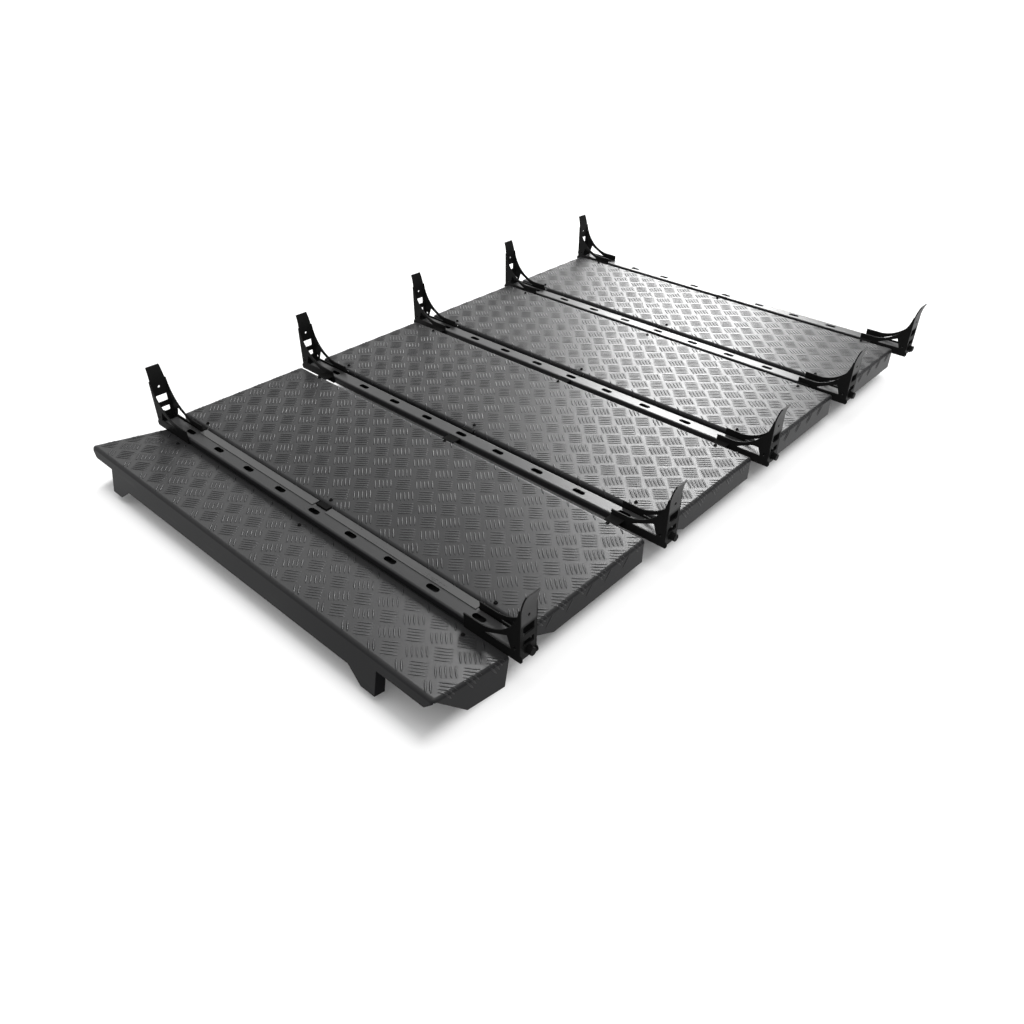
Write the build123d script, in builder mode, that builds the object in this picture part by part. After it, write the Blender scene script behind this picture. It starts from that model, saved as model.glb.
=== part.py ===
from build123d import *
import os
from math import cos, radians, sin, tan

# Roof rack deck of a vehicle: five slotted cross bars with clamp brackets at
# both ends, and five folded tread plate panels bolted between the bars.
# X runs along the bars, Y from the front panel to the rear bar, Z up.
# The origin lies on the floor under the middle of the whole rack.

# Layout along the rack, measured from the middle of the front bar
bar_positions = [0, 540, 1058, 1568, 2051]
floor_drop = 105

# Deck panels: folded sheet trays
panel_sheet = 3
panel_bend = 10
corner_step = 0.5
panel_width = 1422
panel_top = 6
panel_front_gaps = [15, 8.5, 10, 8.5]
panel_rear_gaps = [34, 27, 20, 27]
skirt_depth = 68
flange_depth = 27
skirt_chamfer = 80

# Cross bar: rounded rectangular tube with slots in its upper face
bar_width = 48
bar_height = 24
bar_wall = 2.5
bar_corner = 6
bar_overhang = 4
bar_length = panel_width + 2 * bar_overhang
slot_pitch = 150
slot_count = 9
slot_length = 39
slot_width = 16.5

# End bracket: two cheeks on the sides of the bar
bracket_overhang = 35
bracket_outer = panel_width / 2 + bracket_overhang
cheek_sheet = 3
cheek_length = 168
cheek_inner = bracket_outer - cheek_length
cheek_rise = 19
cheek_bottom = -22
cheek_curve_run = 116
cheek_curve_start = bracket_outer - cheek_curve_run
cheek_curve_sag = 27
cheek_tip_height = 124
cheek_tip_width = 5
foot_top = -5
foot_reach = 6
foot_nose = 4
window_inner_inset = 104
window_outer_inset = 26
window_peak_inset = 38
window_inner = bracket_outer - window_inner_inset
window_outer = bracket_outer - window_outer_inset
window_peak = bracket_outer - window_peak_inset
window_sill = 4
window_height = 32
cheek_hole_inset = 16
cheek_hole_height = 12
cheek_hole_radius = 4

# End bracket: upright blade between the cheeks
blade_sheet = 4
blade_bottom = -18
blade_straight_top = 110
blade_top = 165
blade_lean = 12
blade_tip_width = 42
blade_hole_height = 101
blade_hole_radius = 4
rung_window_width = 36
rung_window_corner = 3
rung_window_bands = [(17, 34), (50, 74)]

# Clamp bolt through the foot of the blade
bolt_height = 3
bolt_shank_radius = 4
bolt_clearance = 0.3
bolt_head_radius = 10
bolt_head_length = 13
bolt_washer_radius = 12
bolt_washer_thickness = 2
bolt_nut_radius = 6.5
bolt_nut_thickness = 7
bolt_tail = 9

# Front panel: tilted, with a stepped front skirt, two tabs and a rear tongue
nose_length = 225
nose_tilt = 10
nose_fold_height = 16
nose_reach = 247
nose_overhang = 4
nose_width = panel_width + 2 * nose_overhang
nose_tongue = 20.5
nose_skirt_chamfer = 98
nose_front_depth = 68
nose_lip_depth = 31
nose_lip_end = 8
nose_lip_chamfer = 25
tab_depth = 101
tab_middle = -29
tab_half_span = 573
tab_foot_width = 46
tab_slope = 45
tab_return_depth = 26

# Rear legs under the last panel, reaching the floor
leg_half_span = 573
leg_foot_width = 60
leg_slope = 45

# Cleats that carry the panels on the bars
cleat_sheet = 3
cleat_width = 42
cleat_end_inset = 111
cleat_leg_drop = 16
cleat_bearing = 34
cleat_notch_side = 4
cleat_notch_play = 1
nose_cleat_foot = 18
nose_cleat_leg = -3
nose_cleat_reach = 89

# Cover strips lying on the front bar, over the gap to the second panel
strip_sheet = 1.5
strip_front = 14
strip_rear = 38
strip_inner = 27
strip_end_gap = 3
strip_outer = cheek_inner - strip_end_gap

# Overshoot of a cut past the face that it opens
overcut = 1

half_bar = bar_width / 2
bar_side = half_bar + cheek_sheet
tilt = radians(nose_tilt)
nose_foot_reach = nose_reach + tab_depth * sin(tilt)
nose_skirt_depth = (floor_drop + nose_fold_height - nose_length * sin(tilt)) / cos(tilt)
rack_front = -nose_foot_reach
rack_rear = bar_positions[-1] + bar_side
middle_y = (rack_front + rack_rear) / 2
cleat_end = panel_width / 2 - cleat_end_inset
cleat_positions = [-cleat_end, 0, cleat_end]
bar_ys = [position - middle_y for position in bar_positions]
deck_z = floor_drop

os.makedirs("parts", exist_ok=True)


def save(part, name):
    """Label one finished piece and write it as a STEP file."""
    part.label = name
    export_step(part, f"parts/{name}.step")


def make_bar(number, bar_y):
    """Slotted rectangular tube, open at both ends."""
    with BuildPart() as bar:
        with BuildSketch(Plane.YZ.offset(-bar_length / 2)):
            with Locations((bar_y, deck_z - bar_height / 2)):
                RectangleRounded(bar_width, bar_height, bar_corner)
                RectangleRounded(
                    bar_width - 2 * bar_wall,
                    bar_height - 2 * bar_wall,
                    bar_corner - bar_wall,
                    mode=Mode.SUBTRACT,
                )
        extrude(amount=bar_length)
        with BuildSketch(Plane.XY.offset(deck_z)):
            with Locations((0, bar_y)):
                with GridLocations(slot_pitch, 0, slot_count, 1):
                    SlotOverall(slot_length, slot_width)
        extrude(amount=-2 * bar_wall, mode=Mode.SUBTRACT)
    save(bar.part, f"cross_bar_{number}")


def bracket_plane(face_y):
    """Upright plane across the rack, its local origin at the bar's top."""
    return Plane(origin=(0, face_y, deck_z), x_dir=(1, 0, 0), z_dir=(0, -1, 0))


def make_cheeks(name, side, bar_y):
    """Two cheek plates with a triangular window, one on each side of the bar."""
    curve_end = bracket_outer - cheek_tip_width
    run = curve_end - cheek_curve_start
    rise = cheek_tip_height - cheek_rise
    chord = (run**2 + rise**2) ** 0.5
    sag_x = (cheek_curve_start + curve_end) / 2 + cheek_curve_sag * rise / chord
    sag_z = (cheek_rise + cheek_tip_height) / 2 - cheek_curve_sag * run / chord
    toe = bracket_outer + foot_reach
    heel = toe - foot_nose
    with BuildPart() as cheeks:
        for face_y in (bar_y + bar_side, bar_y - half_bar):
            with BuildSketch(bracket_plane(face_y)):
                with BuildLine():
                    Polyline(
                        (side * curve_end, cheek_tip_height),
                        (side * bracket_outer, cheek_tip_height),
                        (side * bracket_outer, foot_top),
                        (side * heel, foot_top),
                    )
                    ThreePointArc(
                        (side * heel, foot_top),
                        (side * toe, (foot_top + cheek_bottom) / 2),
                        (side * heel, cheek_bottom),
                    )
                    Polyline(
                        (side * heel, cheek_bottom),
                        (side * cheek_inner, cheek_bottom),
                        (side * cheek_inner, cheek_rise),
                        (side * cheek_curve_start, cheek_rise),
                    )
                    ThreePointArc(
                        (side * cheek_curve_start, cheek_rise),
                        (side * sag_x, sag_z),
                        (side * curve_end, cheek_tip_height),
                    )
                make_face()
                with BuildLine():
                    Polyline(
                        (side * window_inner, window_sill),
                        (side * window_peak, window_sill + window_height),
                        (side * window_outer, window_sill),
                        close=True,
                    )
                make_face(mode=Mode.SUBTRACT)
                with Locations((side * (bracket_outer - cheek_hole_inset), cheek_hole_height)):
                    Circle(cheek_hole_radius, mode=Mode.SUBTRACT)
            extrude(amount=cheek_sheet)
    save(cheeks.part, f"{name}_cheeks")


def make_blade(name, side, bar_y):
    """Upright blade between the cheeks, with two windows and a rung."""
    outer = side * bracket_outer
    inner = side * (bracket_outer - blade_sheet)
    lean = side * blade_lean
    sweep_past = side * (bracket_outer + 2 * blade_lean)
    with BuildPart() as blade:
        with BuildSketch(bracket_plane(bar_y + half_bar)):
            with BuildLine():
                Line((outer, blade_bottom), (outer, blade_straight_top))
                TangentArc(
                    (outer, blade_straight_top),
                    (outer + lean, blade_top),
                    tangent=(0, 1),
                )
                Line((outer + lean, blade_top), (inner + lean, blade_top))
                TangentArc(
                    (inner, blade_straight_top),
                    (inner + lean, blade_top),
                    tangent=(0, 1),
                )
                Polyline(
                    (inner, blade_straight_top),
                    (inner, blade_bottom),
                    (outer, blade_bottom),
                )
            make_face()
        extrude(amount=bar_width)
        with BuildSketch(Plane.YZ):
            with BuildLine():
                Polyline(
                    (bar_y - half_bar, deck_z + blade_bottom),
                    (bar_y + half_bar, deck_z + blade_bottom),
                    (bar_y + half_bar, deck_z + cheek_tip_height),
                    (bar_y + blade_tip_width / 2, deck_z + blade_top),
                    (bar_y - blade_tip_width / 2, deck_z + blade_top),
                    (bar_y - half_bar, deck_z + cheek_tip_height),
                    close=True,
                )
            make_face()
        extrude(amount=sweep_past, mode=Mode.INTERSECT)
        with BuildSketch(Plane.YZ):
            for low, high in rung_window_bands:
                with Locations((bar_y, deck_z + (low + high) / 2)):
                    RectangleRounded(rung_window_width, high - low, rung_window_corner)
            with Locations((bar_y, deck_z + blade_hole_height)):
                Circle(blade_hole_radius)
            with Locations((bar_y, deck_z + bolt_height)):
                Circle(bolt_shank_radius + bolt_clearance)
        extrude(amount=sweep_past, mode=Mode.SUBTRACT)
    save(blade.part, f"{name}_blade")


def make_clamp_bolts(number, bar_y):
    """Headed bolt with washer and nut through the blade at each end of one bar."""
    outer = bracket_outer
    inner = bracket_outer - blade_sheet
    head_face = outer + bolt_washer_thickness
    nut_face = inner - bolt_nut_thickness
    steps = [
        (head_face + bolt_head_length, bolt_head_radius),
        (head_face, bolt_head_radius),
        (head_face, bolt_washer_radius),
        (outer, bolt_washer_radius),
        (outer, bolt_shank_radius),
        (inner, bolt_shank_radius),
        (inner, bolt_nut_radius),
        (nut_face, bolt_nut_radius),
        (nut_face, bolt_shank_radius),
        (nut_face - bolt_tail, bolt_shank_radius),
    ]
    with BuildPart() as bolts:
        for side in (-1, 1):
            with BuildSketch(bracket_plane(bar_y)):
                with BuildLine():
                    Polyline(
                        (side * steps[0][0], bolt_height),
                        *[(side * x, bolt_height + radius) for x, radius in steps],
                        (side * steps[-1][0], bolt_height),
                        close=True,
                    )
                make_face()
            revolve(axis=Axis((0, bar_y, deck_z + bolt_height), (1, 0, 0)))
    save(bolts.part, f"clamp_bolts_{number}")


def tray(plane, width, length, depth):
    """Round-edged block opened from below: a folded tray of even thickness."""
    up = Axis(plane.origin, plane.z_dir)
    with BuildPart(plane) as block:
        Box(width, length, depth, align=(Align.CENTER, Align.MIN, Align.MAX))
        fillet(block.edges().filter_by(up), panel_bend)
        fillet(block.faces().sort_by(up)[-1].edges(), panel_bend - corner_step)
        offset(amount=-panel_sheet, openings=block.faces().sort_by(up)[0])
    return block.part


def side_plane(plane, width):
    """Plane beside a tray: local x runs rearwards, local y up from the panel top."""
    return Plane(
        origin=plane.from_local_coords((-width, 0, 0)),
        x_dir=plane.y_dir,
        z_dir=plane.x_dir,
    )


def make_panel(number, front_y, rear_y):
    """Level deck panel between two bars, resting on the cleats."""
    plane = Plane(origin=(0, front_y, deck_z + panel_top))
    length = rear_y - front_y
    inside = panel_width - 2 * panel_bend
    is_last = number == len(bar_ys)
    with BuildPart() as panel:
        add(tray(plane, panel_width, length, skirt_depth))
        with BuildSketch(side_plane(plane, panel_width)):
            with BuildLine():
                Polyline(
                    (-overcut, -flange_depth),
                    (panel_bend, -flange_depth),
                    (panel_bend + skirt_chamfer, -skirt_depth),
                    (panel_bend + skirt_chamfer, -skirt_depth - overcut),
                    (-overcut, -skirt_depth - overcut),
                    close=True,
                )
            make_face()
        extrude(amount=2 * panel_width, mode=Mode.SUBTRACT)
        with BuildSketch(plane.offset(-skirt_depth)):
            with Locations((0, length)):
                Rectangle(inside, 2 * panel_bend)
        extrude(amount=skirt_depth - flange_depth, mode=Mode.SUBTRACT)
        with BuildSketch(plane.offset(-panel_sheet)):
            for cleat_x in cleat_positions:
                with Locations((cleat_x, 0), (cleat_x, length)):
                    Rectangle(cleat_width + 2 * cleat_notch_side, 2 * panel_bend)
        extrude(amount=-cleat_sheet - cleat_notch_play, mode=Mode.SUBTRACT)
        if is_last:
            leg_root = panel_top - flange_depth / 2
            with BuildSketch(bracket_plane(rear_y)):
                for side in (-1, 1):
                    with BuildLine():
                        Polyline(
                            (side * leg_half_span, leg_root),
                            (side * leg_half_span, -floor_drop),
                            (side * (leg_half_span - leg_foot_width), -floor_drop),
                            (side * (leg_half_span - leg_foot_width - leg_slope), leg_root),
                            close=True,
                        )
                    make_face()
            extrude(amount=panel_sheet)
    save(panel.part, f"deck_panel_{number}")


def make_nose_panel(bar_y):
    """Tilted front panel whose top sheet runs on as a tongue under the bar."""
    plane = Plane(
        origin=(0, bar_y - nose_reach, deck_z + nose_fold_height),
        x_dir=(1, 0, 0),
        z_dir=(0, sin(tilt), cos(tilt)),
    )
    half = nose_width / 2
    inside = nose_width - 2 * panel_bend
    tabs = [
        (-1, tab_middle - tab_half_span),
        (1, tab_middle + tab_half_span),
    ]
    with BuildPart() as panel:
        add(tray(plane, nose_width, nose_length + nose_tongue + 2 * panel_bend, tab_depth))
        with BuildSketch(side_plane(plane, nose_width)):
            with BuildLine():
                Polyline(
                    (panel_sheet, -nose_lip_end),
                    (panel_bend, -nose_lip_end),
                    (panel_bend + nose_skirt_chamfer, -nose_skirt_depth),
                    (2 * nose_length, -nose_skirt_depth),
                    (2 * nose_length, -tab_depth - overcut),
                    (panel_sheet, -tab_depth - overcut),
                    close=True,
                )
            make_face()
        extrude(amount=2 * nose_width, mode=Mode.SUBTRACT)
        front_cut = Plane(origin=plane.origin, x_dir=(1, 0, 0), z_dir=-plane.y_dir)
        with BuildSketch(front_cut):
            Rectangle(2 * nose_width, 2 * tab_depth, align=(Align.CENTER, Align.MAX))
            with BuildLine():
                left_root = tabs[0][1] + tab_foot_width + tab_slope
                right_root = tabs[1][1] - tab_foot_width - tab_slope
                Polyline(
                    (-half, overcut),
                    (-half, -nose_lip_end),
                    (-half + nose_lip_chamfer, -nose_lip_depth),
                    (tabs[0][1], -nose_lip_depth),
                    (tabs[0][1], -tab_depth),
                    (tabs[0][1] + tab_foot_width, -tab_depth),
                    (left_root, -nose_front_depth),
                    (right_root, -nose_front_depth),
                    (tabs[1][1] - tab_foot_width, -tab_depth),
                    (tabs[1][1], -tab_depth),
                    (tabs[1][1], -nose_lip_depth),
                    (half - nose_lip_chamfer, -nose_lip_depth),
                    (half, -nose_lip_end),
                    (half, overcut),
                    close=True,
                )
            make_face(mode=Mode.SUBTRACT)
        extrude(amount=-panel_bend, mode=Mode.SUBTRACT)
        with BuildSketch(plane):
            rearward = (Align.CENTER, Align.MIN)
            with Locations((0, nose_length)):
                Rectangle(2 * nose_width, nose_length, align=rearward)
                Rectangle(inside, nose_tongue, align=rearward, mode=Mode.SUBTRACT)
        extrude(amount=-2 * tab_depth, mode=Mode.SUBTRACT)
        with BuildSketch(plane.offset(-nose_lip_depth)):
            for side, edge_x in tabs:
                with Locations((edge_x - side * panel_sheet / 2, panel_sheet)):
                    Rectangle(panel_sheet, tab_return_depth, align=(Align.CENTER, Align.MIN))
        extrude(amount=nose_lip_depth - tab_depth)
    save(panel.part, "deck_panel_1")


def nose_underside(offset_y):
    """Height of the tilted panel's underside at a distance from the front bar."""
    along = offset_y + nose_reach
    return nose_fold_height - along * tan(tilt) - panel_sheet / cos(tilt)


def make_cleats(number, bar_y):
    """Bent cleats on one bar that carry the panels in front of it and behind it."""
    seat = panel_top - panel_sheet
    with BuildPart() as cleats:
        for cleat_x in cleat_positions:
            base = half_bar if cleat_x == 0 else bar_side
            with BuildSketch(Plane.YZ.offset(cleat_x - cleat_width / 2)):
                if number == 1:
                    leg_back = nose_cleat_leg + cleat_sheet
                    near_end = -nose_cleat_reach
                    with BuildLine():
                        Polyline(
                            (bar_y + nose_cleat_foot, deck_z - bar_height),
                            (bar_y + nose_cleat_leg, deck_z - bar_height),
                            (bar_y + nose_cleat_leg, deck_z + nose_underside(nose_cleat_leg)),
                            (bar_y + near_end, deck_z + nose_underside(near_end)),
                            (bar_y + near_end, deck_z + nose_underside(near_end) - cleat_sheet),
                            (bar_y + leg_back, deck_z + nose_underside(leg_back) - cleat_sheet),
                            (bar_y + leg_back, deck_z - bar_height - cleat_sheet),
                            (bar_y + nose_cleat_foot, deck_z - bar_height - cleat_sheet),
                            close=True,
                        )
                    make_face()
                sides = []
                if number > 1:
                    sides.append((-1, panel_rear_gaps[number - 2]))
                if number < len(bar_ys):
                    sides.append((1, panel_front_gaps[number - 1]))
                for way, gap in sides:
                    root = bar_y + way * base
                    bend = bar_y + way * (base + cleat_sheet)
                    end = bar_y + way * (half_bar + gap + cleat_bearing)
                    with BuildLine():
                        Polyline(
                            (root, deck_z - cleat_leg_drop),
                            (root, deck_z + seat),
                            (end, deck_z + seat),
                            (end, deck_z + seat - cleat_sheet),
                            (bend, deck_z + seat - cleat_sheet),
                            (bend, deck_z - cleat_leg_drop),
                            close=True,
                        )
                    make_face()
            extrude(amount=cleat_width)
    save(cleats.part, f"panel_cleats_{number}")


def make_strips(bar_y):
    """Two thin strips on the front bar that cover the gap to the panel behind it."""
    with BuildPart() as strips:
        with BuildSketch(Plane.XY.offset(deck_z)):
            for side in (-1, 1):
                with Locations(
                    (side * (strip_inner + strip_outer) / 2, bar_y + (strip_front + strip_rear) / 2)
                ):
                    Rectangle(strip_outer - strip_inner, strip_rear - strip_front)
        extrude(amount=strip_sheet)
    save(strips.part, "gap_strips")


for number, bar_y in enumerate(bar_ys, start=1):
    make_bar(number, bar_y)
    for side, side_name in ((-1, "left"), (1, "right")):
        name = f"bracket_{number}_{side_name}"
        make_cheeks(name, side, bar_y)
        make_blade(name, side, bar_y)
    make_clamp_bolts(number, bar_y)
    make_cleats(number, bar_y)

make_strips(bar_ys[0])
make_nose_panel(bar_ys[0])
for number in range(2, len(bar_ys) + 1):
    front_y = bar_ys[number - 2] + half_bar + panel_front_gaps[number - 2]
    rear_y = bar_ys[number - 1] - half_bar - panel_rear_gaps[number - 2]
    make_panel(number, front_y, rear_y)
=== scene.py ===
"""Dresses the roof rack deck: raised tread, panel screws, weld beads, coats and studio."""

import logging
import math
from dataclasses import dataclass, field, replace
from enum import Enum

import bmesh
import bpy
from mathutils import Matrix, Vector

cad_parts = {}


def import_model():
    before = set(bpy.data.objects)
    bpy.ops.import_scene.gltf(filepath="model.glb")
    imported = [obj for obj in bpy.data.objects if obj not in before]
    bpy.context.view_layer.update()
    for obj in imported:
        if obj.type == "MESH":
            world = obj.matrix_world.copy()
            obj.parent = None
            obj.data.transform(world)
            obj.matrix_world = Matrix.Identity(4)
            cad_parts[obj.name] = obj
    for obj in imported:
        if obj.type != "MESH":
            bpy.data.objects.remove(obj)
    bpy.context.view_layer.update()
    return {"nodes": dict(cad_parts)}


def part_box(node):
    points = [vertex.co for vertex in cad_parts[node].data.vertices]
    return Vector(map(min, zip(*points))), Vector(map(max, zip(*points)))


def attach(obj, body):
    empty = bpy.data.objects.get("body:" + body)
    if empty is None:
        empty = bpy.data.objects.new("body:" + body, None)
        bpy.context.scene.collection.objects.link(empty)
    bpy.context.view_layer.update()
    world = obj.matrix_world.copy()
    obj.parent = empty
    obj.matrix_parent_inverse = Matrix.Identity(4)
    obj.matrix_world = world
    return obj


LOG = logging.getLogger("rack_deck")
MM = 0.001
X, Y, Z = range(3)
BAR_COUNT = 5
NOISE_MEAN = 0.5
WHITE = (1.0, 1.0, 1.0, 1.0)
Colour = tuple[float, float, float]
Point = tuple[float, float, float]


@dataclass(frozen=True)
class Rise:
    """A mask's rise from 0 to 1: where it is half done, and how wide it is."""

    level: float
    width: float


@dataclass(frozen=True)
class Patches:
    """Noise patches: their largest size in metres, their octaves and their stretch."""

    size: float
    octaves: float
    stretch: Point = (1.0, 1.0, 1.0)


class Signal:
    """A shader socket that Python operators combine through Math nodes."""

    def __init__(self, graph: "Graph", socket: bpy.types.NodeSocket) -> None:
        """Wrap one socket.

        Args:
            graph: The node tree that owns the socket.
            socket: The socket to read.
        """
        self.graph = graph
        self.socket = socket

    def _math(self, operation: str, left: "Signal | float", right: "Signal | float") -> "Signal":
        """Join two operands with a Math node.

        Args:
            operation: The Math node's operation.
            left: A signal or a number.
            right: A signal or a number.

        Returns:
            The node's result.
        """
        return self.graph.add("ShaderNodeMath", {"operation": operation}, {0: left, 1: right})

    def __add__(self, other: "Signal | float") -> "Signal":
        """Sum."""
        return self._math("ADD", self, other)

    def __radd__(self, other: float) -> "Signal":
        """Sum, number first."""
        return self._math("ADD", other, self)

    def __sub__(self, other: "Signal | float") -> "Signal":
        """Difference."""
        return self._math("SUBTRACT", self, other)

    def __rsub__(self, other: float) -> "Signal":
        """Difference, number first."""
        return self._math("SUBTRACT", other, self)

    def __mul__(self, other: "Signal | float") -> "Signal":
        """Product."""
        return self._math("MULTIPLY", self, other)

    def __rmul__(self, other: float) -> "Signal":
        """Product, number first."""
        return self._math("MULTIPLY", other, self)

    def __pow__(self, other: "Signal | float") -> "Signal":
        """Power."""
        return self._math("POWER", self, other)

    def __rpow__(self, other: float) -> "Signal":
        """Power, number first."""
        return self._math("POWER", other, self)

    def part(self, axis: int) -> "Signal":
        """One component of a vector, by its axis."""
        return self.graph.add("ShaderNodeSeparateXYZ", sockets={0: self}, output=axis)

    def beyond(self, limit: float) -> "Signal":
        """How far the value lies past a limit on either side of zero, 0 inside it."""
        size = self._math("ABSOLUTE", self, 0.0)
        return self._math("MAXIMUM", size - limit, 0.0)

    def above(self, rise: Rise) -> "Signal":
        """Rise smoothly from 0 to 1 around a level.

        Args:
            rise: Where the rise is, and how wide.

        Returns:
            The mask.
        """
        low, high = rise.level - rise.width / 2, rise.level + rise.width / 2
        return self.graph.add(
            "ShaderNodeMapRange", {"interpolation_type": "SMOOTHSTEP"}, {0: self, 1: low, 2: high}
        )


class Graph:
    """A node tree with one way of adding nodes to it."""

    def __init__(self, owner: bpy.types.Material | bpy.types.World) -> None:
        """Give the owner an empty node tree and keep the tree.

        Args:
            owner: The material or world to fill with nodes.
        """
        owner.use_nodes = True
        self.tree = owner.node_tree
        self.tree.nodes.clear()

    def add(
        self,
        kind: str,
        settings: dict[str, object] | None = None,
        sockets: dict[int | str, object] | None = None,
        output: int | str = 0,
    ) -> Signal:
        """Add a node, set it up and feed it.

        Args:
            kind: The node's type name.
            settings: Properties, set before the sockets.
            sockets: Values or signals by input number or name.
            output: Which output to hand back.

        Returns:
            The wanted output, or the first input of a node that has no outputs.
        """
        node = self.tree.nodes.new(kind)
        for key, value in (settings or {}).items():
            setattr(node, key, value)
        for key, value in (sockets or {}).items():
            if isinstance(value, Signal):
                self.tree.links.new(value.socket, node.inputs[key])
            else:
                node.inputs[key].default_value = value
        return Signal(self, node.outputs[output] if len(node.outputs) else node.inputs[0])

    def place(self) -> Signal:
        """The point's place in the object's own coordinates."""
        return self.add("ShaderNodeTexCoord", output="Object")

    def facing(self) -> Signal:
        """The direction that the surface faces."""
        return self.add("ShaderNodeNewGeometry", output="Normal")

    def seen_by(self, kind: str) -> Signal:
        """One kind of ray, as 0 or 1."""
        return self.add("ShaderNodeLightPath", output=kind)

    def mirrored(self) -> Signal:
        """Rays that meet the room in gloss or through glass, as 0 or 1."""
        return self.seen_by("Is Glossy Ray") + self.seen_by("Is Transmission Ray")

    def blend(self, factor: Signal, low: Colour | Signal, high: Colour | Signal) -> Signal:
        """Mix two colours, on the colour sockets of a Mix node: inputs 6 and 7, output 2.

        Args:
            factor: 0 for the first, 1 for the second.
            low: First colour.
            high: Second colour.

        Returns:
            The mixed colour.
        """
        ends = [end if isinstance(end, Signal) else (*end, 1.0) for end in (low, high)]
        return self.add(
            "ShaderNodeMix", {"data_type": "RGBA"}, {0: factor, 6: ends[0], 7: ends[1]}, output=2
        )

    def noise(self, patches: Patches) -> Signal:
        """Noise on the object's own coordinates.

        Args:
            patches: What the noise looks like.

        Returns:
            A value between 0 and 1.
        """
        scale = tuple(1 / (patches.size * longer) for longer in patches.stretch)
        mapped = self.add("ShaderNodeMapping", sockets={"Vector": self.place(), "Scale": scale})
        return self.add(
            "ShaderNodeTexNoise",
            sockets={"Vector": mapped, "Scale": 1.0, "Detail": patches.octaves},
        )


@dataclass(frozen=True)
class Coat:
    """A baked coat with orange peel, tops paled by dust and painted light, and a painted
    reflection on its upper outer faces.
    """

    label: str
    deep: Colour
    pale: Colour
    rough: float
    rough_spread: float
    specular: float
    # Upward faces paled partly by dust and partly by painted light on the tops.
    dust: float = 0.0
    dust_and_top_light_tone: Colour = (0.050, 0.050, 0.050)
    dust_and_top_light_slope: Rise = Rise(0.7, 0.5)
    # A painted reflection: outward faces above a given height are painted paler.
    painted_reflection_above: float = 0.0
    painted_reflection_edge: float = 12 * MM
    painted_reflection_side: Rise = Rise(0.2, 0.2)
    painted_reflection_tone: Colour = (0.12, 0.12, 0.12)
    mottle: Patches = Patches(0.16, 4.0)
    mottle_share: float = 0.5
    speckle: Patches = Patches(3 * MM, 2.0)
    speckle_share: float = 0.22
    cast: Patches = Patches(0.55, 1.0)
    cast_share: float = 0.28
    pale_rise: Rise = Rise(0.5, 0.5)
    film_spread: float = 0.4
    speckle_rough: float = 0.1
    scuffs: Patches = Patches(14 * MM, 5.0, (9.0, 1.0, 1.0))
    scuff_rise: Rise = Rise(0.64, 0.1)
    scuff_gloss: float = 0.05
    peel: Patches = Patches(1.6 * MM, 1.5)
    peel_height: float = 0.05 * MM
    peel_strength: float = 0.35

    def build(self) -> bpy.types.Material:
        """Make the coat's material.

        Returns:
            The finished material.
        """
        made = bpy.data.materials.new(self.label)
        graph = Graph(made)
        mottle, speckle = graph.noise(self.mottle), graph.noise(self.speckle)
        cast, scuffs = graph.noise(self.cast), graph.noise(self.scuffs).above(self.scuff_rise)
        tone = self.mottle_share * mottle + self.speckle_share * speckle + self.cast_share * cast
        rough = (
            self.rough
            + self.rough_spread * (mottle - NOISE_MEAN)
            + self.speckle_rough * (speckle - NOISE_MEAN)
            - self.scuff_gloss * scuffs
        )
        normal = graph.add(
            "ShaderNodeBump",
            sockets={
                "Strength": self.peel_strength,
                "Distance": self.peel_height,
                "Height": graph.noise(self.peel),
            },
        )
        shader = graph.add(
            "ShaderNodeBsdfPrincipled",
            sockets={
                "Base Color": self.colour(graph, tone),
                "Roughness": rough,
                "Specular IOR Level": self.specular,
                "Normal": normal,
            },
        )
        graph.add("ShaderNodeOutputMaterial", sockets={0: shader})
        return made

    def colour(self, graph: Graph, tone: Signal) -> Signal:
        """Colour the coat, pale its tops with dust and painted light, and paint a reflection on
        its upper outer faces.

        Args:
            graph: The material's nodes.
            tone: How pale the coat is at a point.

        Returns:
            The coat's colour.
        """
        colour = graph.blend(tone.above(self.pale_rise), self.deep, self.pale)
        film = (1 - self.film_spread) + self.film_spread * tone
        # Upward faces turn paler here: partly dust, partly painted light on the tops.
        if self.dust:
            dust_and_top_light_mask = self.dust * graph.facing().part(Z).above(self.dust_and_top_light_slope)
            colour = graph.blend(dust_and_top_light_mask * film, colour, self.dust_and_top_light_tone)
        # Painted reflection: paler colour on the upper, outward-facing faces.
        if self.painted_reflection_above:
            high = graph.place().part(Z).above(Rise(self.painted_reflection_above, self.painted_reflection_edge))
            outward = graph.place().part(X) * graph.facing().part(X)
            painted_reflection_mask = high * outward.above(self.painted_reflection_side)
            colour = graph.blend(painted_reflection_mask * film, colour, self.painted_reflection_tone)
        return colour


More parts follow.
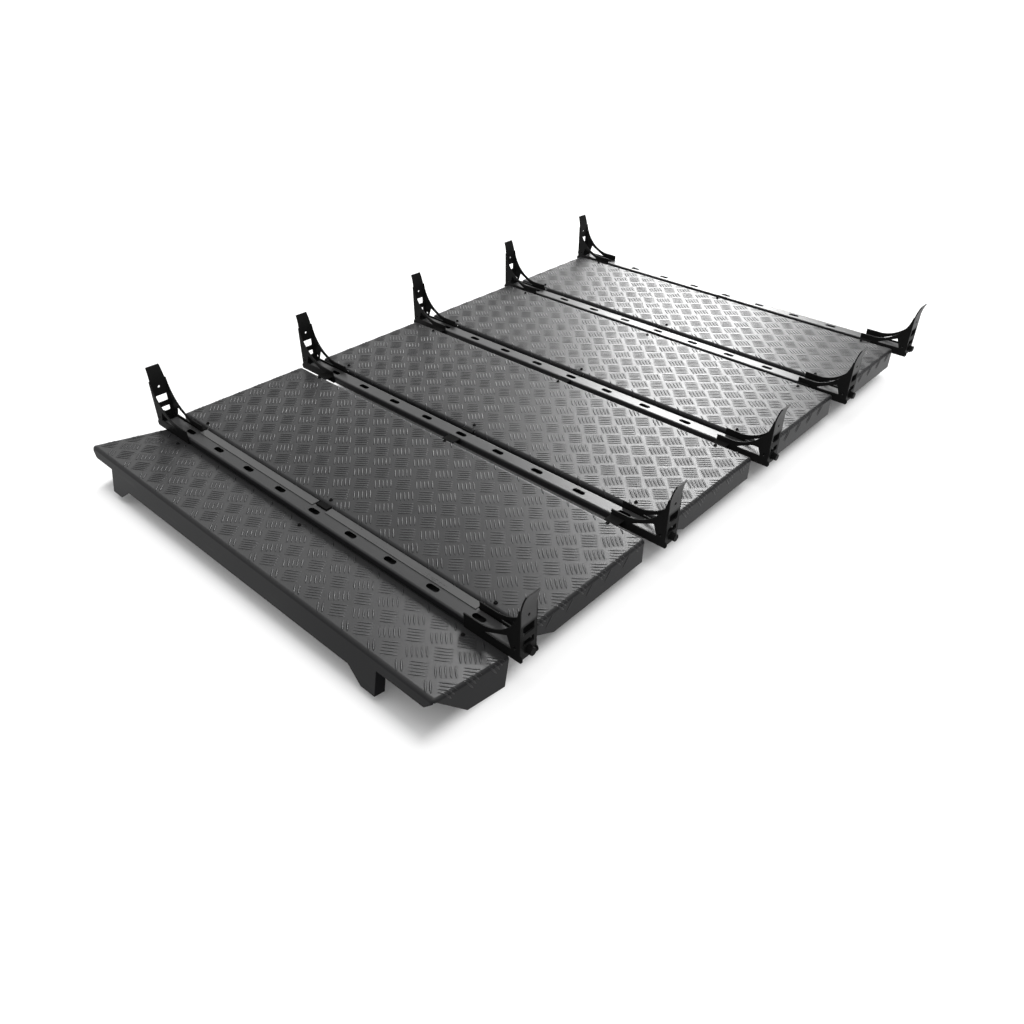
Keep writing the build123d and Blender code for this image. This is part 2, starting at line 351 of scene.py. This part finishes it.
class Finish(Enum):
    """The coats that the deck's pieces wear."""

    PLATE = Coat(
        "tread_plate_coat",
        deep=(0.009, 0.009, 0.010),
        pale=(0.018, 0.018, 0.019),
        rough=0.35,
        rough_spread=0.06,
        specular=0.12,
        # Tops paler than the skirts: dust and painted light.
        dust=0.6,
    )
    RIDGE = Coat(
        "tread_ridge_coat",
        deep=(0.014, 0.014, 0.015),
        pale=(0.030, 0.030, 0.031),
        rough=0.42,
        rough_spread=0.06,
        specular=0.3,
    )
    # Film between the ridges: rougher like gathered dust, and its darker colour is painted shade.
    BED = Coat(
        "tread_bed_dust",
        deep=(0.007, 0.007, 0.008),
        pale=(0.014, 0.014, 0.015),
        rough=0.44,
        rough_spread=0.08,
        specular=0.14,
        dust=0.5,
    )
    STRIP = Coat(
        "gap_strip_coat",
        deep=(0.012, 0.012, 0.012),
        pale=(0.022, 0.022, 0.022),
        rough=0.32,
        rough_spread=0.06,
        specular=0.3,
        # Upward faces fully paled: partly dust, partly a painted highlight.
        dust=1.0,
        dust_and_top_light_tone=(0.065, 0.065, 0.065),
    )
    BAR = Coat(
        "cross_bar_coat",
        deep=(0.008, 0.008, 0.009),
        pale=(0.016, 0.016, 0.017),
        rough=0.36,
        rough_spread=0.06,
        specular=0.2,
        # Bar tops paler than its sides: dust and painted light.
        dust=0.8,
    )
    BRACKET = Coat(
        "bracket_coat",
        deep=(0.006, 0.006, 0.006),
        pale=(0.012, 0.012, 0.012),
        rough=0.5,
        rough_spread=0.1,
        specular=0.05,
    )
    CLEAT = Coat(
        "cleat_coat",
        deep=(0.007, 0.007, 0.007),
        pale=(0.014, 0.014, 0.014),
        rough=0.6,
        rough_spread=0.1,
        specular=0.0,
    )
    BLADE = Coat(
        "blade_coat",
        deep=(0.006, 0.006, 0.006),
        pale=(0.012, 0.012, 0.012),
        rough=0.5,
        rough_spread=0.1,
        specular=0.07,
        # Painted reflection on the blade's upper outer faces.
        painted_reflection_above=0.184,
    )
    FASTENER = Coat(
        "blackened_fastener",
        deep=(0.005, 0.005, 0.005),
        pale=(0.009, 0.009, 0.009),
        rough=0.5,
        rough_spread=0.08,
        specular=0.04,
    )
    WELD = Coat(
        "coated_weld",
        deep=(0.006, 0.006, 0.006),
        pale=(0.012, 0.012, 0.012),
        rough=0.42,
        rough_spread=0.1,
        specular=0.15,
    )


NODE_FINISHES = {
    "deck_panel": Finish.PLATE,
    "panel_cleats": Finish.CLEAT,
    "gap_strips": Finish.STRIP,
    "cross_bar": Finish.BAR,
    "clamp_bolts": Finish.FASTENER,
    "_blade": Finish.BLADE,
    "_cheeks": Finish.BRACKET,
}


def to_mesh(shape: bmesh.types.BMesh, name: str) -> bpy.types.Mesh:
    """Write a bmesh into a new mesh and free it.

    Args:
        shape: The finished shape, freed here.
        name: The mesh's name.

    Returns:
        The mesh.
    """
    mesh = bpy.data.meshes.new(name)
    shape.to_mesh(mesh)
    shape.free()
    return mesh


def add_object(name: str, data: bpy.types.ID) -> bpy.types.Object:
    """Add an object to the scene.

    Args:
        name: The object's name.
        data: Its mesh, lamp or camera.

    Returns:
        The object, at the origin.
    """
    made = bpy.data.objects.new(name, data)
    bpy.context.scene.collection.objects.link(made)
    return made


def add_copy(shape: bmesh.types.BMesh, mesh: bpy.types.Mesh) -> list[bmesh.types.BMVert]:
    """Add a copy of a mesh to a bmesh.

    Args:
        shape: The bmesh that grows.
        mesh: The mesh to copy.

    Returns:
        The copy's vertices.
    """
    done = len(shape.verts)
    shape.from_mesh(mesh)
    shape.verts.ensure_lookup_table()
    return shape.verts[done:]


class Wardrobe:
    """Makes each finish once and puts it on pieces."""

    def __init__(self) -> None:
        """Start with no finish made."""
        self.made: dict[Finish, bpy.types.Material] = {}

    def dress(self, piece: bpy.types.Object, finish: Finish) -> None:
        """Put a finish on every slot of a piece.

        Args:
            piece: The object to dress.
            finish: Which finish it wears.
        """
        if finish not in self.made:
            self.made[finish] = finish.value.build()
        if not piece.material_slots:
            piece.data.materials.append(None)
        for place in piece.material_slots:
            place.material = self.made[finish]


class Workshop:
    """Turns finished bmeshes into pieces that ride with the deck."""

    def __init__(self, wardrobe: Wardrobe) -> None:
        """Keep the wardrobe.

        Args:
            wardrobe: Where finishes come from.
        """
        self.wardrobe = wardrobe

    def piece(
        self, shape: bmesh.types.BMesh, name: str, finish: Finish, slot: str, smooth: bool = False
    ) -> None:
        """Make one piece of the deck from a bmesh.

        Args:
            shape: The finished shape in metres, freed here.
            name: The piece's name.
            finish: What it wears.
            slot: The record's material slot; not used.
            smooth: Whether its faces are shaded smooth.
        """
        mesh = to_mesh(shape, name)
        for face in mesh.polygons:
            face.use_smooth = smooth
        made = add_object(name, mesh)
        self.wardrobe.dress(made, finish)
        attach(made, "root")
        LOG.info("%s: %d faces", name, len(mesh.polygons))


@dataclass
class Layout:
    """Where the bars lie, in metres."""

    bar_ys: tuple[float, ...]
    bar_top: float

    @classmethod
    def read(cls) -> "Layout":
        """Take the places from the frame.

        Returns:
            The layout.
        """
        boxes = [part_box(f"cross_bar_{number}") for number in range(1, BAR_COUNT + 1)]
        return cls(tuple((low[Y] + high[Y]) / 2 for low, high in boxes), boxes[0][1][Z])


@dataclass(frozen=True)
class Skirt:
    """A plate's side skirt, which deepens along a chamfer at the front."""

    depth: float
    chamfer_start: float
    chamfer_run: float
    shallow: float = 14 * MM
    margin: float = 3 * MM

    def reach(self, v: float) -> float:
        """How far down the tread may reach.

        Args:
            v: Distance from the plate's front edge.

        Returns:
            The depth below the plate's top.
        """
        along = (v - self.chamfer_start) / self.chamfer_run
        depth = self.depth * min(1.0, max(0.0, along))
        return max(depth, self.shallow) - self.margin


@dataclass
class Plate:
    """One folded plate as a flat sheet of tread that is wrapped over its bends.

    A reach says how far past the start of a bend the middle of a ridge or bed may lie.
    """

    name: str
    front: float
    top: float
    half_width: float
    length: float
    tilt: float
    phase: tuple[float, float]
    skirt: Skirt
    front_reach: float
    rear_reach: float
    side_reach: float = 27 * MM
    bend: float = 9.5 * MM
    arc_excess: float = 0.57

    def lift(self, u: float, v: float, h: float) -> Vector:
        """Carry a point of the flat sheet to its place on the folded plate.

        Args:
            u: Distance from the middle, across the plate.
            v: Distance from the front edge.
            h: Height above the sheet.

        Returns:
            The point in the deck's frame.
        """
        x, drop_u = self._fold(abs(u) - (self.half_width - self.bend), h)
        x = math.copysign(self.half_width - self.bend + x, u)
        if v < self.length / 2:
            y, drop_v = self._fold(self.bend - v, h)
            y = self.bend - y
        else:
            y, drop_v = self._fold(v - (self.length - self.bend), h)
            y = self.length - self.bend + y
        z = h - drop_u - drop_v
        cosine, sine = math.cos(self.tilt), math.sin(self.tilt)
        return Vector((x, self.front + y * cosine + z * sine, self.top - y * sine + z * cosine))

    def _fold(self, past: float, h: float) -> tuple[float, float]:
        """Bend a strip over an edge.

        Args:
            past: Distance along the sheet past the start of the bend.
            h: Height above the sheet.

        Returns:
            How far out the point lies, and how far its height drops.
        """
        if past <= 0:
            return past, 0.0
        quarter = self.bend * math.pi / 2
        if past < quarter:
            turn = past / self.bend
            return (self.bend + h) * math.sin(turn), (self.bend + h) * (1 - math.cos(turn))
        return self.bend + h, self.bend + h + past - quarter

    def within(self, margin: float) -> "Plate":
        """The same plate, covered only where groups lie well inside its bends."""
        return replace(self, front_reach=-margin, rear_reach=-margin, side_reach=-margin)

    def holds(self, points: list[Vector], middle: Vector) -> bool:
        """Tell whether a ridge or a bed fits on the plate.

        Args:
            points: Its corners on the flat sheet.
            middle: Its middle on the flat sheet.

        Returns:
            True if it keeps clear of the plate's corners and of the skirts' lower edges.
        """
        edge_u = self.half_width - self.bend
        edge_v = self.length - self.bend
        if abs(middle.x) - edge_u > self.side_reach:
            return False
        if self.bend - middle.y > self.front_reach or middle.y - edge_v > self.rear_reach:
            return False
        for u, v in points:
            over_u = abs(u) - edge_u
            over_v = max(self.bend - v, v - edge_v)
            if over_u > 0 and over_v > 0:
                return False
            if over_u - self.bend * self.arc_excess > self.skirt.reach(v):
                return False
        return True


@dataclass
class Tread:
    """Five-ridge groups that alternate in direction over each plate."""

    layout: Layout
    pitch_across: float = 87.7 * MM
    pitch_along: float = 72.2 * MM
    skew: float = math.radians(41.5)
    ridges: int = 5
    ridge_gap: float = 10.6 * MM
    ridge_length: float = 42 * MM
    ridge_width: float = 5.6 * MM
    ridge_height: float = 1.2 * MM
    ridge_sunk: float = 0.5 * MM
    ridge_blunt: float = 0.03
    ridge_cuts: int = 5
    bed_height: float = 0.12 * MM
    bed_margin: float = 20 * MM
    bed_cells: int = 6
    nose_reach: float = 0.247
    nose_rise: float = 16 * MM
    nose_half_width: float = 0.715
    nose_length: float = 0.225
    nose_tilt: float = math.radians(10)
    nose_front_reach: float = -3 * MM
    nose_skirt: Skirt = Skirt(83 * MM, 10 * MM, 98 * MM)
    level_reach: float = 6 * MM
    level_skirt: Skirt = Skirt(68 * MM, 10 * MM, 80 * MM)
    phases: tuple[tuple[float, float], ...] = (
        (7 * MM, 46.5 * MM),
        (-3 * MM, 52.6 * MM),
        (9.4 * MM, 27.3 * MM),
        (-10.4 * MM, 29.5 * MM),
        (-14.6 * MM, 37.3 * MM),
    )
    plates: list[Plate] = field(default_factory=list)

    def plan(self) -> None:
        """List the plates, the front one tilted and the rest level."""
        self.plates.append(
            Plate(
                name="1",
                front=self.layout.bar_ys[0] - self.nose_reach,
                top=self.layout.bar_top + self.nose_rise,
                half_width=self.nose_half_width,
                length=self.nose_length,
                tilt=self.nose_tilt,
                phase=self.phases[0],
                skirt=self.nose_skirt,
                front_reach=self.nose_front_reach,
                rear_reach=0.0,
            )
        )
        for number in range(2, BAR_COUNT + 1):
            low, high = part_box(f"deck_panel_{number}")
            self.plates.append(
                Plate(
                    name=str(number),
                    front=low[Y],
                    top=high[Z],
                    half_width=high[X],
                    length=high[Y] - low[Y],
                    tilt=0.0,
                    phase=self.phases[number - 1],
                    skirt=self.level_skirt,
                    front_reach=self.level_reach,
                    rear_reach=self.level_reach,
                )
            )

    def ridge(self) -> bpy.types.Mesh:
        """Shape one ridge, a spindle that lies along X with its keel in the sheet.

        Returns:
            The ridge's mesh.
        """
        shape = bmesh.new()
        bmesh.ops.create_cube(shape, size=1.0)
        along = [edge for edge in shape.edges if edge.verts[0].co.x != edge.verts[1].co.x]
        bmesh.ops.subdivide_edges(shape, edges=along, cuts=self.ridge_cuts, use_grid_fill=True)
        quarter = Matrix.Rotation(math.radians(45), 3, "X")
        bmesh.ops.rotate(shape, verts=shape.verts, matrix=quarter)
        for vert in shape.verts:
            taper = math.sqrt(max(self.ridge_blunt, 1 - (2 * vert.co.x) ** 2))
            rise = self.ridge_height if vert.co.z > 0 else self.ridge_sunk
            vert.co = (
                vert.co.x * self.ridge_length,
                vert.co.y / math.sqrt(2) * self.ridge_width * taper,
                vert.co.z * math.sqrt(2) * rise * taper,
            )
        return to_mesh(shape, "ridge")

    def bed(self) -> bpy.types.Mesh:
        """Shape the film between a group's ridges, rough like gathered dust and darker as painted
        shade.

        Returns:
            The bed's mesh, just above the sheet.
        """
        shape = bmesh.new()
        cells = self.bed_cells
        bmesh.ops.create_grid(shape, x_segments=cells, y_segments=cells, size=0.5)
        for vert in shape.verts:
            vert.co.x *= self.ridge_length
            vert.co.y *= self.ridges * self.ridge_gap
            vert.co.z = self.bed_height
        return to_mesh(shape, "bed")

    def groups(self, plate: Plate) -> list[tuple[float, float, float]]:
        """Place the groups of one plate.

        Args:
            plate: The plate to cover.

        Returns:
            The middle and the direction of each group.
        """
        placed = []
        across = int(plate.half_width / self.pitch_across) + 2
        along = int(plate.length / self.pitch_along) + 2
        for turn, offset in ((self.skew, 0.0), (-self.skew, 0.5)):
            for i in range(-across, across + 1):
                for j in range(-1, along + 1):
                    u = plate.phase[0] + (i + offset) * self.pitch_across
                    v = plate.phase[1] + (j + offset) * self.pitch_along
                    placed.append((u, v, turn))
        return placed

    def cover(
        self, plate: Plate, mould: bpy.types.Mesh, rows: int, reach: float
    ) -> bmesh.types.BMesh:
        """Cover one plate with ridges or beds.

        Args:
            plate: The plate to cover.
            mould: The ridge or bed to repeat.
            rows: How many stand side by side in a group.
            reach: How far one spreads to each side.

        Returns:
            All of them in the deck's frame.
        """
        shape = bmesh.new()
        for u, v, turn in self.groups(plate):
            run = Vector((math.cos(turn), math.sin(turn)))
            step = Vector((-run.y, run.x))
            half = run * self.ridge_length / 2
            for row in range(rows):
                middle = Vector((u, v)) + step * (row - (rows - 1) / 2) * self.ridge_gap
                ends = [middle + a * half + b * step * reach for a in (-1, 1) for b in (-1, 1)]
                if plate.holds(ends, middle):
                    for vert in add_copy(shape, mould):
                        flat = middle + run * vert.co.x + step * vert.co.y
                        vert.co = plate.lift(flat.x, flat.y, vert.co.z)
        return shape

    def build(self, workshop: Workshop) -> None:
        """Make the tread of every plate.

        Args:
            workshop: Where pieces are made.
        """
        self.plan()
        ridge, bed = self.ridge(), self.bed()
        for plate in self.plates:
            shape = self.cover(plate, ridge, self.ridges, 0.0)
            workshop.piece(shape, f"tread_{plate.name}", Finish.RIDGE, "panel_coat", smooth=True)
            inner = plate.within(self.bed_margin)
            shape = self.cover(inner, bed, 1, self.ridges * self.ridge_gap / 2)
            workshop.piece(shape, f"tread_bed_{plate.name}", Finish.BED, "panel_coat", smooth=True)


@dataclass
class PanelScrews:
    """Small button heads that hold each plate on its cleats."""

    layout: Layout
    plates: list[Plate]
    xs: tuple[float, ...] = (-0.598, 0.0, 0.598)
    sides: int = 20
    head_radius: float = 5.0 * MM
    head_height: float = 3.2 * MM
    crown_share: float = 0.72
    rim_share: float = 0.28
    socket_depth: float = 1.8 * MM
    washer_radius: float = 5.6 * MM
    washer_height: float = 0.8 * MM
    front_offset: float = 56 * MM
    rear_offset: float = 68 * MM
    nose_rear_offset: float = 50 * MM

    def disc(
        self, shape: bmesh.types.BMesh, foot: float, top: float, low: float, height: float
    ) -> list[bmesh.types.BMVert]:
        """Add an upright disc.

        Args:
            shape: The bmesh that grows.
            foot: The radius of its lower face.
            top: The radius of its upper face.
            low: Where its lower face lies.
            height: How high it is.

        Returns:
            The disc's vertices.
        """
        middle = Matrix.Translation((0, 0, low + height / 2))
        return bmesh.ops.create_cone(
            shape,
            cap_ends=True,
            segments=self.sides,
            radius1=foot,
            radius2=top,
            depth=height,
            matrix=middle,
        )["verts"]

    def head(self) -> bpy.types.Mesh:
        """Shape one screw head on its washer, standing on the origin.

        Returns:
            The head's mesh.
        """
        shape = bmesh.new()
        self.disc(shape, self.washer_radius, self.washer_radius, 0.0, self.washer_height)
        top = self.head_radius * self.crown_share
        button = self.disc(shape, self.head_radius, top, self.washer_height, self.head_height)
        crown = max(
            {face for vert in button for face in vert.link_faces},
            key=lambda face: face.calc_center_median().z,
        )
        rim = self.head_radius * self.rim_share
        bmesh.ops.inset_region(shape, faces=[crown], thickness=rim)
        for vert in crown.verts:
            vert.co.z -= self.socket_depth
        return to_mesh(shape, "screw_head")

    def build(self, workshop: Workshop) -> None:
        """Screw every plate down.

        Args:
            workshop: Where pieces are made.
        """
        head = self.head()
        for index, plate in enumerate(self.plates):
            rear = self.nose_rear_offset if index == 0 else self.rear_offset
            rows = [(self.layout.bar_ys[index] - rear - plate.front) / math.cos(plate.tilt)]
            if index > 0:
                rows.append(self.layout.bar_ys[index - 1] + self.front_offset - plate.front)
            shape = bmesh.new()
            turn = Matrix.Rotation(-plate.tilt, 3, "X")
            for x in self.xs:
                for v in rows:
                    seat = plate.lift(x, v, 0.0)
                    for vert in add_copy(shape, head):
                        vert.co = seat + turn @ vert.co
            workshop.piece(shape, f"panel_screws_{plate.name}", Finish.FASTENER, "bolt_metal")


@dataclass
class BracketWelds:
    """Rippled weld beads where the blades meet the cheeks."""

    layout: Layout
    seam_x: float = 741.2 * MM
    seam_y: float = 23.2 * MM
    seam_low: float = -8 * MM
    seam_high: float = 112 * MM
    ripple: float = 3.4 * MM
    ripple_turn: float = 0.35
    radius: float = 2.1 * MM

    def build(self, workshop: Workshop) -> None:
        """Lay the beads of all brackets, two to a bracket.

        Args:
            workshop: Where pieces are made.
        """
        count = int((self.seam_high - self.seam_low) / self.ripple)
        turn = Matrix.Rotation(self.ripple_turn, 4, "Y")
        for number, bar_y in enumerate(self.layout.bar_ys, start=1):
            shape = bmesh.new()
            for side in (-1, 1):
                for edge in (-1, 1):
                    for step in range(count):
                        z = self.layout.bar_top + self.seam_low + step * self.ripple
                        spot = Vector((side * self.seam_x, bar_y + edge * self.seam_y, z))
                        place = Matrix.Translation(spot) @ turn
                        bmesh.ops.create_icosphere(
                            shape, subdivisions=1, radius=self.radius, matrix=place
                        )
            name = f"bracket_welds_{number}"
            workshop.piece(shape, name, Finish.WELD, "bracket_coat", smooth=True)


@dataclass
class FrameDress:
    """Dresses the frame's own bars, brackets, cleats and plates."""

    nodes: dict[str, bpy.types.Object]

    def build(self, wardrobe: Wardrobe) -> None:
        """Put a coat on every node.

        Args:
            wardrobe: Where finishes come from.
        """
        for name, node in self.nodes.items():
            wardrobe.dress(node, self.finish_of(name))
            LOG.info("%s dressed", name)

    @staticmethod
    def finish_of(name: str) -> Finish:
        """A node's finish, by what its name says it is."""
        return next(finish for part, finish in NODE_FINISHES.items() if part in name)


@dataclass(frozen=True)
class Softbox:
    """A soft rectangular lamp: its place, what it points at, its size and its watts."""

    name: str
    place: Point
    aim: Point
    size: tuple[float, float]
    power: float

    def hang(self) -> None:
        """Hang the lamp and turn it to its aim."""
        data = bpy.data.lights.new(self.name, "AREA")
        data.shape = "RECTANGLE"
        data.size, data.size_y = self.size
        data.energy = self.power
        turn = (Vector(self.aim) - Vector(self.place)).to_track_quat("-Z", "Y")
        made = add_object(self.name, data)
        made.matrix_world = Matrix.Translation(self.place) @ turn.to_matrix().to_4x4()


@dataclass
class Studio:
    """Pale floor, soft lamps and the camera of the photograph."""

    eye: Point = (1.5960, -1.8978, 1.4000)
    right: Point = (0.73833, 0.67442, 0.00462)
    down: Point = (0.39558, -0.42750, -0.81287)
    forward: Point = (-0.54625, 0.60200, -0.58242)
    focal: float = 852.6
    frame: float = 1024.0
    sensor: float = 36.0
    sight: float = 200.0
    deck_half: tuple[float, float] = (0.68, 1.16)
    floor_half: float = 60.0
    floor_pale: Colour = (0.86, 0.86, 0.86)
    # Painted shadow: bounced light and reflections see the floor darker towards the front.
    floor_painted_shade: Colour = (0.24, 0.24, 0.24)
    floor_glow: float = 1.25
    shadow_edge: Rise = Rise(0.02, 0.06)
    shadow_edge_share: float = 0.55
    shadow_far: Rise = Rise(2.0, 3.0)
    rear: Rise = Rise(0.2, 2.0)
    # Painted light: reflections see the floor glow more towards the rear, close to the deck too.
    rear_gloss: float = 0.6
    fill_level: float = 0.75
    ceiling_level: float = 0.35
    ceiling: Rise = Rise(0.42, 0.5)
    lamps: tuple[Softbox, ...] = (
        Softbox("back_softbox", (-3.85, 7.5, 4.4), (0.0, 0.6, 0.1), (2.3, 5.3), 860.0),
        Softbox("left_softbox", (-7.5, 5.0, 3.2), (0.0, 0.3, 0.1), (5.0, 4.0), 70.0),
        Softbox("high_softbox", (-2.5, 6.3, 5.3), (0.2, 0.2, 0.1), (1.9, 2.0), 300.0),
        Softbox("top_softbox", (0.5, -0.6, 3.6), (0.0, 0.0, 0.0), (3.0, 3.0), 50.0),
    )

    def camera(self) -> None:
        """Stand the camera where the photograph was taken."""
        data = bpy.data.cameras.new("camera")
        data.sensor_width = self.sensor
        data.lens = self.sensor * self.focal / self.frame
        data.clip_end = self.sight
        made = add_object("camera", data)
        axes = Matrix((self.right, [-v for v in self.down], [-v for v in self.forward]))
        made.matrix_world = Matrix.Translation(self.eye) @ axes.transposed().to_4x4()
        bpy.context.scene.camera = made

    def floor(self) -> None:
        """Lay the floor, white to the camera but for the deck's shadow, and painted darker towards
        its front for bounced light and reflections.
        """
        shape = bmesh.new()
        bmesh.ops.create_grid(shape, x_segments=1, y_segments=1, size=self.floor_half)
        made = add_object("floor", to_mesh(shape, "floor"))
        material = bpy.data.materials.new("pale_floor")
        made.data.materials.append(material)
        graph = Graph(material)
        across, along = graph.place().part(X), graph.place().part(Y)
        beside, behind = across.beyond(self.deck_half[X]), along.beyond(self.deck_half[Y])
        away = (beside ** 2 + behind ** 2) ** 0.5
        edge, far = away.above(self.shadow_edge), away.above(self.shadow_far)
        white = self.shadow_edge_share * edge + (1 - self.shadow_edge_share) * far
        # Painted shadow: the floor that lights and mirrors the deck is darker towards the front.
        rear = along.above(self.rear)
        bounce = graph.blend(rear, self.floor_painted_shade, self.floor_pale)
        camera = graph.seen_by("Is Camera Ray")
        tone = graph.blend(camera, bounce, self.floor_pale)
        matt = graph.add("ShaderNodeBsdfDiffuse", sockets={"Color": tone})
        glow = graph.add(
            "ShaderNodeEmission", sockets={"Color": WHITE, "Strength": self.floor_glow}
        )
        # Painted light: in reflections the glow reaches closer to the deck towards the rear.
        gloss = white + self.rear_gloss * rear * (1 - white)
        seen = camera * white + graph.mirrored() * gloss
        shader = graph.add("ShaderNodeMixShader", sockets={0: seen, 1: matt, 2: glow})
        graph.add("ShaderNodeOutputMaterial", sockets={0: shader})

    def sky(self) -> None:
        """Light the room evenly, with a white backdrop under a dimmer ceiling."""
        world = bpy.data.worlds.new("room")
        bpy.context.scene.world = world
        graph = Graph(world)
        height = graph.add("ShaderNodeTexCoord", output="Generated").part(Z)
        backdrop = 1 - (1 - self.ceiling_level) * height.above(self.ceiling)
        level = self.fill_level + (1 - self.fill_level) * graph.seen_by("Is Camera Ray")
        level = level + (backdrop - self.fill_level) * graph.mirrored()
        shade = graph.add("ShaderNodeBackground", sockets={"Color": WHITE, "Strength": level})
        graph.add("ShaderNodeOutputWorld", sockets={0: shade})

    def build(self) -> None:
        """Set up the whole studio."""
        bpy.context.scene.view_settings.view_transform = "Standard"
        self.camera()
        self.floor()
        self.sky()
        for lamp in self.lamps:
            lamp.hang()
        LOG.info("studio ready")


def main() -> None:
    """Load the frame, dress it, add the scene's pieces and set the studio."""
    logging.basicConfig(level=logging.INFO, format="%(message)s")
    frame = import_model()
    wardrobe = Wardrobe()
    workshop = Workshop(wardrobe)
    layout = Layout.read()
    FrameDress(frame["nodes"]).build(wardrobe)
    tread = Tread(layout)
    tread.build(workshop)
    PanelScrews(layout, tread.plates).build(workshop)
    BracketWelds(layout).build(workshop)
    Studio().build()


if __name__ == "__main__":
    main()
